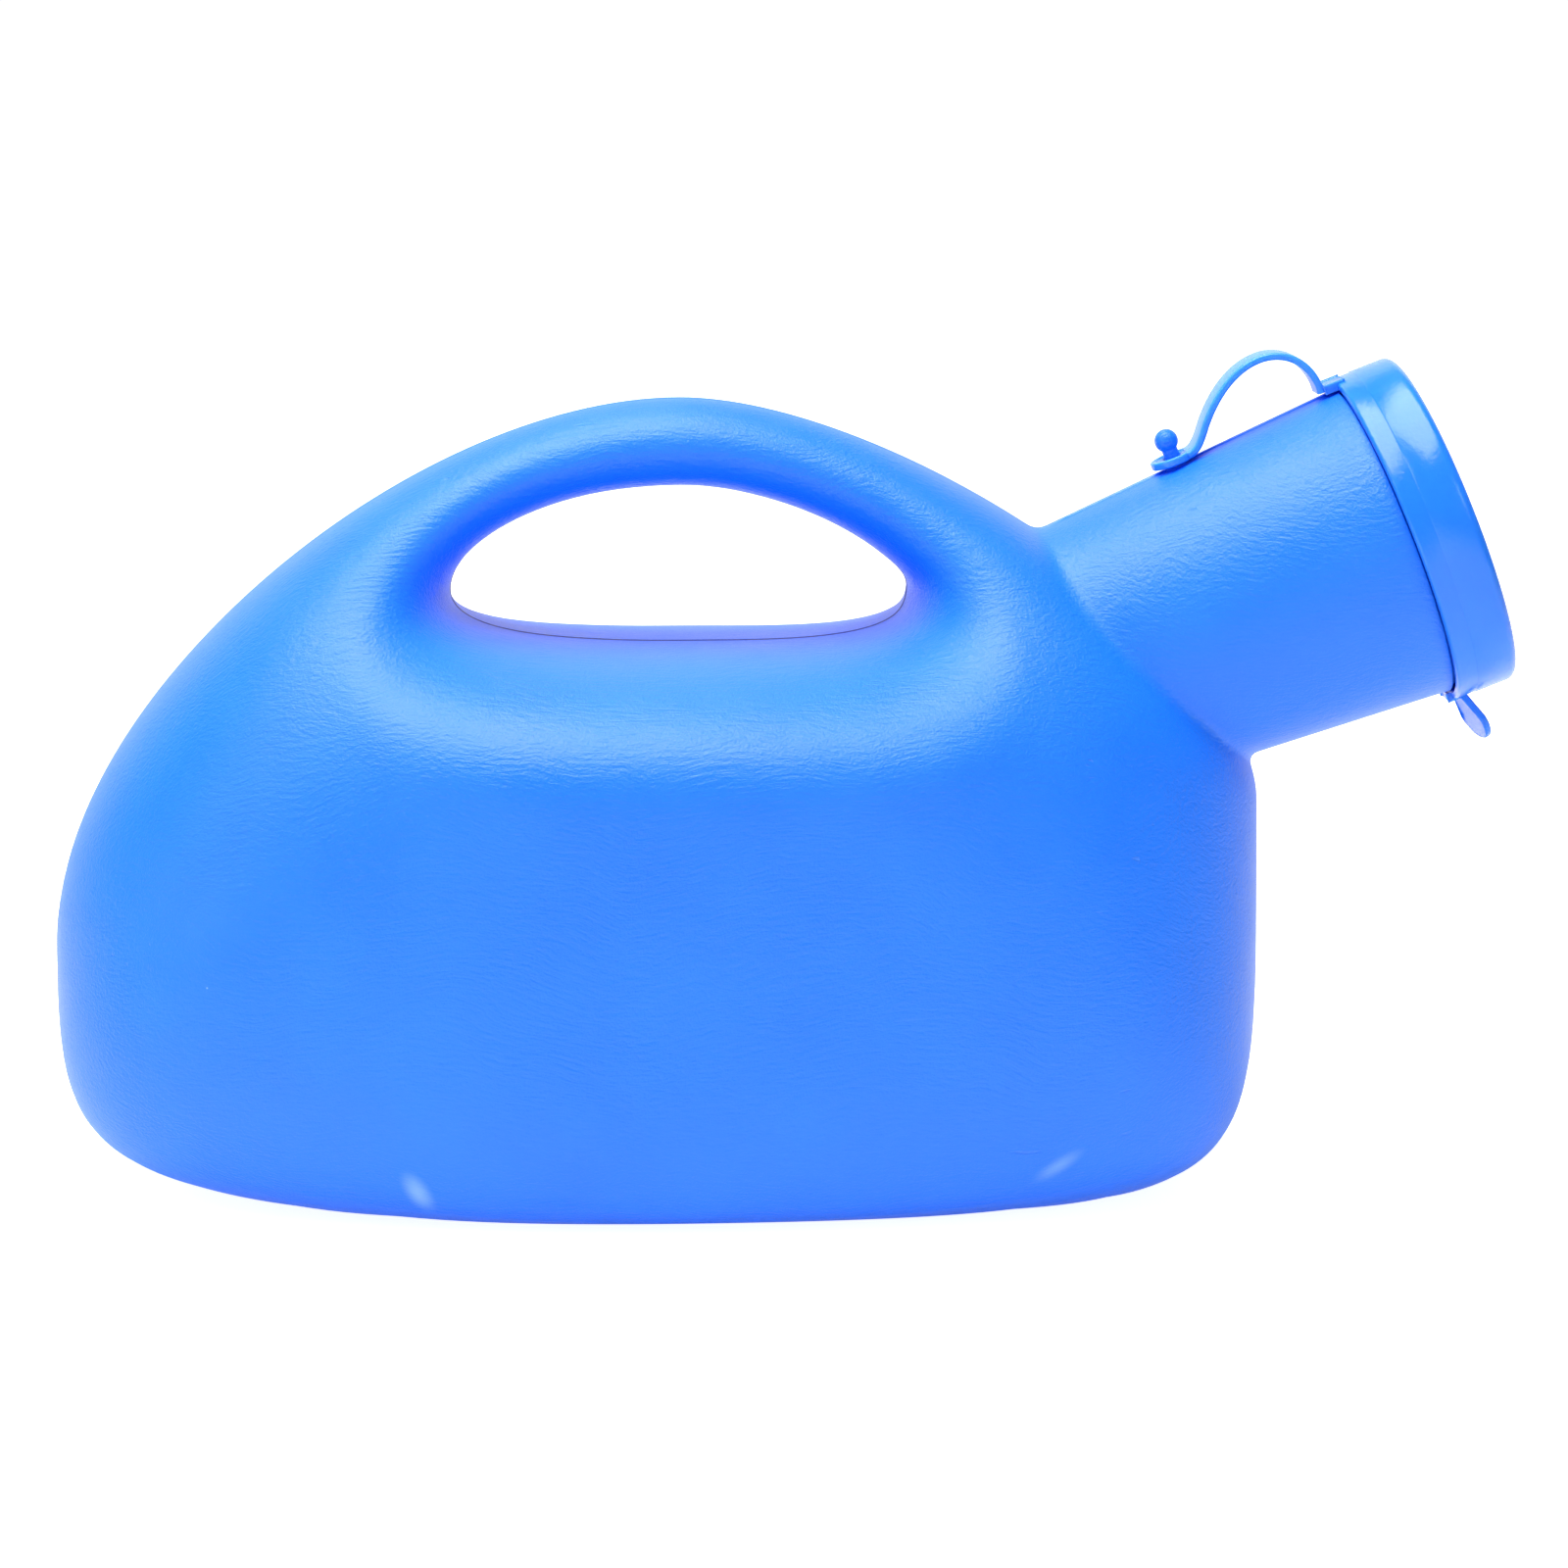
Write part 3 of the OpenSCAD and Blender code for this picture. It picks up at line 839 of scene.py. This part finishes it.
def add_tab(shell):
    """The thumb tab: a plate with a round end, and a border raised round its sunk face."""
    root = -SKIRT_IN - 0.0006
    base_z = -FINISH_LEN + 0.001
    half = TAB_W / 2

    def tab_point(out, side, thick):
        # the soft tab has taken a twist, growing towards its end
        twist = TAB_TWIST * min(1, out / 0.003)
        thick -= TAB_T / 2
        side, thick = (side * math.cos(twist) + thick * math.sin(twist),
                       TAB_T / 2 + thick * math.cos(twist) - side * math.sin(twist))
        up = root - out * math.cos(TAB_LEAN) + thick * math.sin(TAB_LEAN)
        return on_neck(up, side, base_z + out * math.sin(TAB_LEAN) + thick * math.cos(TAB_LEAN))

    def outline(inset):
        round_end = [(TAB_LEN - half + (half - inset) * math.cos(a), (half - inset) * math.sin(a))
                     for a in np.linspace(-math.pi / 2, math.pi / 2, 25)]
        return [(0, -half + inset), *round_end, (0, half - inset)]

    edge = 0.0003
    border = 0.0011
    sunk = 0.00035
    layers = [(edge, 0), (0, edge), (0, TAB_T - edge), (edge, TAB_T), (border, TAB_T),
              (border + 0.0002, TAB_T - sunk)]
    rings = [[shell.verts.new(tab_point(out, side, thick)) for out, side in outline(inset)]
             for inset, thick in layers]
    for one, two in zip(rings, rings[1:]):
        bridge(shell, one, two)
    shell.faces.new(rings[0])
    shell.faces.new(rings[-1])


cap_plastic, cap_shader = plastic(
    "pale_blue_moulded_polyethylene", deep=(0.012, 0.2, 0.93), pale=(0.018, 0.225, 1.0),
    wear_and_glint=(0.4, 0.66, 1.0), roughness=0.2, depth=0.00008, grain=0.0009, streak=0.003,
    share=0.3, paints_light=False)
cap_shader.inputs["Specular IOR Level"].default_value = 0.5
cap_shader.inputs["Subsurface Weight"].default_value = 0.4
cap_shader.inputs["Subsurface Radius"].default_value = (0.4, 0.7, 1.0)
cap_shader.inputs["Subsurface Scale"].default_value = 0.0025

# The strap, the hinge and the eyelet share this copy of the cap's plastic. Its thin walls pass more
# light through subsurface scattering, and its colours are painted paler than the cap's as painted
# light, lifting the strap out of shade.
pale_painted_thin_plastic, pale_painted_thin_shader = plastic(
    "thin_blue_moulded_polyethylene", deep=(0.03, 0.27, 0.95), pale=(0.045, 0.3, 1.0),
    wear_and_glint=(0.4, 0.66, 1.0), roughness=0.3, depth=0.00005, grain=0.0009, streak=0.003,
    share=0.3, paints_light=False)
pale_painted_thin_shader.inputs["Subsurface Weight"].default_value = 0.6
pale_painted_thin_shader.inputs["Subsurface Radius"].default_value = (0.4, 0.7, 1.0)
pale_painted_thin_shader.inputs["Subsurface Scale"].default_value = 0.003

cap_shell = bmesh.new()
lathe(cap_shell, cap_profile(), neck_place, CAP_STEPS)
add_rounded_block(
    cap_shell, (SKIRT_IN + 0.0001, -STRAP_W / 2, -FINISH_LEN - EAR_LEN),
    (SKIRT_R, STRAP_W / 2, -FINISH_LEN + 0.0012), 0.0003, on_neck)
add_rounded_block(
    cap_shell, (-SKIRT_R, -STRAP_W / 2, -FINISH_LEN - 0.0009),
    (-SKIRT_IN - 0.0001, STRAP_W / 2, -FINISH_LEN + 0.0012), 0.0003, on_neck)
add_tab(cap_shell)
cap = finish_piece("snap_cap", cap_shell, 40)
cap.data.materials.append(cap_plastic)
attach(cap, "cap")
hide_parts("cap")


# ------------------------------------------------------------------ tether strap
# The strap is moulded in one with the cap and the eyelet: a flat band with rounded edges that
# arches from the ear to the stud. It bends when the cap is pulled off.

STRAP_STEPS = 40
STRAP_PULL = (0.0115, 0.0008)
STRAP_SWEEP = (0.0175, 0.0115)
STRAP_GAP = 0.0001
EYELET_R = 0.0044
EYELET_T = 0.0015
EYELET_X = neck_radius(-STUD_BACK) + BALL_RISE - BALL_R - 0.00075 - EYELET_T
HINGE_X = SKIRT_R
HINGE_Z = -FINISH_LEN - EAR_LEN - 0.0001


def strap_tree():
    """Sweeps a flat band with rounded edges along a curve: named sizes, ends filled."""
    tree = bpy.data.node_groups.new("strap_band", "GeometryNodeTree")
    tree.interface.new_socket("Geometry", in_out="INPUT", socket_type="NodeSocketGeometry")
    for label in ("Width", "Thickness", "Edge Radius"):
        tree.interface.new_socket(label, in_out="INPUT", socket_type="NodeSocketFloat")
    tree.interface.new_socket("Material", in_out="INPUT", socket_type="NodeSocketMaterial")
    tree.interface.new_socket("Geometry", in_out="OUTPUT", socket_type="NodeSocketGeometry")
    given = tree.nodes.new("NodeGroupInput")
    result = tree.nodes.new("NodeGroupOutput")
    section = put(tree, "GeometryNodeCurvePrimitiveQuadrilateral", (),
                  Width=given.outputs["Width"], Height=given.outputs["Thickness"])
    rounded = put(tree, "GeometryNodeFilletCurve", {"mode": "POLY"},
                  Curve=section.outputs[0], Count=4, Radius=given.outputs["Edge Radius"])
    turned = put(tree, "GeometryNodeSetCurveNormal", {"mode": "FREE"},
                 Curve=given.outputs["Geometry"], Normal=(0.0, 1.0, 0.0))
    swept = put(tree, "GeometryNodeCurveToMesh", (), Curve=turned.outputs[0],
                Profile_Curve=rounded.outputs[0], Fill_Caps=True)
    realized = put(tree, "GeometryNodeRealizeInstances", (), Geometry=swept.outputs[0])
    painted = put(tree, "GeometryNodeSetMaterial", (), Geometry=realized.outputs[0],
                  Material=given.outputs["Material"])
    tree.links.new(painted.outputs[0], result.inputs[0])
    return tree


def baked(name, source, tree, **values):
    """The result of a node tree as a plain mesh, with the tree's named inputs set."""
    modifier = source.modifiers.new("made_by", "NODES")
    modifier.node_group = tree
    for item in tree.interface.items_tree:
        if item.item_type == "SOCKET" and item.in_out == "INPUT":
            label = item.name.replace(" ", "_").lower()
            if label in values:
                modifier[item.identifier] = values[label]
    graph = bpy.context.evaluated_depsgraph_get()
    mesh = bpy.data.meshes.new_from_object(source.evaluated_get(graph))
    source.modifiers.remove(modifier)
    bpy.data.objects.remove(source)
    piece = bpy.data.objects.new(name, mesh)
    scene.collection.objects.link(piece)
    return piece


def path_curve(name, points):
    curve = bpy.data.curves.new(name, "CURVE")
    curve.dimensions = "3D"
    spline = curve.splines.new("POLY")
    spline.points.add(len(points) - 1)
    for point, place in zip(spline.points, points):
        point.co = (*place, 1)
    path = bpy.data.objects.new(name, curve)
    scene.collection.objects.link(path)
    return path


def weld_and_smooth(piece, angle):
    """Merges a baked mesh's doubles, turns its faces outwards and smooths its round parts."""
    shell = bmesh.new()
    shell.from_mesh(piece.data)
    bmesh.ops.remove_doubles(shell, verts=shell.verts, dist=1e-6)
    bmesh.ops.recalc_face_normals(shell, faces=shell.faces)
    shell.to_mesh(piece.data)
    shell.free()
    piece.data.shade_smooth()
    piece.data.set_sharp_from_angle(angle=math.radians(angle))


strap_from = (HINGE_X - 0.0009, HINGE_Z - STRAP_GAP - STRAP_T / 2)
strap_to = (EYELET_X + EYELET_T / 2 + 0.0006, -STUD_BACK + EYELET_R + STRAP_GAP + 0.0006)
strap_corners = [
    strap_from,
    (strap_from[0] + STRAP_PULL[0], strap_from[1] + STRAP_PULL[1]),
    (strap_to[0] + STRAP_SWEEP[0], strap_to[1] + STRAP_SWEEP[1]),
    strap_to]
strap_path = cubic(strap_corners, np.linspace(0, 1, STRAP_STEPS + 1))
landing = (EYELET_X + EYELET_T / 2 + 0.0001, -STUD_BACK + EYELET_R - 0.0018)
landing_path = cubic(
    [strap_path[-4], strap_path[-1], (landing[0], landing[1] + 0.0016), landing],
    np.linspace(0, 1, 13))
strap_path = np.concatenate([strap_path[:-4], landing_path])
strap_band = strap_tree()
strap = baked(
    "tether_band", path_curve("strap_path", [on_neck(x, 0, z) for x, z in strap_path]),
    strap_band, width=STRAP_W, thickness=STRAP_T, edge_radius=0.0005, material=pale_painted_thin_plastic)
weld_and_smooth(strap, 50)
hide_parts("tether_strap")
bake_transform(strap)

# The living hinge: the thin web where the band leaves the ear, which bends as the cap swings.
web_low, web_high = HINGE_Z - 0.0009, HINGE_Z + 0.0009
web_path = [on_neck(HINGE_X - 0.0005, 0, z) for z in np.linspace(web_low, web_high, 7)]
web = baked(
    "living_hinge", path_curve("web_path", web_path), strap_band,
    width=STRAP_W - 0.0006, thickness=0.0008, edge_radius=0.0003, material=pale_painted_thin_plastic)
weld_and_smooth(web, 50)
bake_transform(web)


# ------------------------------------------------------------------ tether eyelet
# The eyelet ends the strap: a washer stretched over the ball and held under it on the stem,
# where it turns. Its edges are rounded, and its rim stands a little above its sunk face.

EYELET_HOLE = STEM_R + 0.0003


def eyelet_place(turn, radius, rise):
    centre = on_neck(EYELET_X, 0, -STUD_BACK)
    around = NECK_AXIS * math.cos(turn) + Vector((0, 1, 0)) * math.sin(turn)
    return centre + around * radius + NECK_UP * rise


eyelet_shell = bmesh.new()
eyelet_edge = 0.0003
eyelet_profile = [(EYELET_HOLE, eyelet_edge), (EYELET_HOLE + eyelet_edge, 0)]
eyelet_profile += arc((EYELET_R - eyelet_edge, eyelet_edge), eyelet_edge, -90, 0, 4)
eyelet_profile += arc((EYELET_R - eyelet_edge, EYELET_T - eyelet_edge), eyelet_edge, 0, 90, 4)
eyelet_profile += [(EYELET_R - 0.0009, EYELET_T), (EYELET_R - 0.0011, EYELET_T - 0.0002)]
eyelet_profile += [(EYELET_HOLE + eyelet_edge, EYELET_T - 0.0002)]
eyelet_profile += [(EYELET_HOLE, EYELET_T - 0.0002 - eyelet_edge)]
eyelet_profile += [eyelet_profile[0]]
lathe(eyelet_shell, eyelet_profile, eyelet_place, 64)
bmesh.ops.remove_doubles(eyelet_shell, verts=eyelet_shell.verts, dist=1e-7)
eyelet = finish_piece("stud_eyelet", eyelet_shell, 50)
eyelet.data.materials.append(pale_painted_thin_plastic)
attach(eyelet, "eyelet")
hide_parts("tether_eyelet")
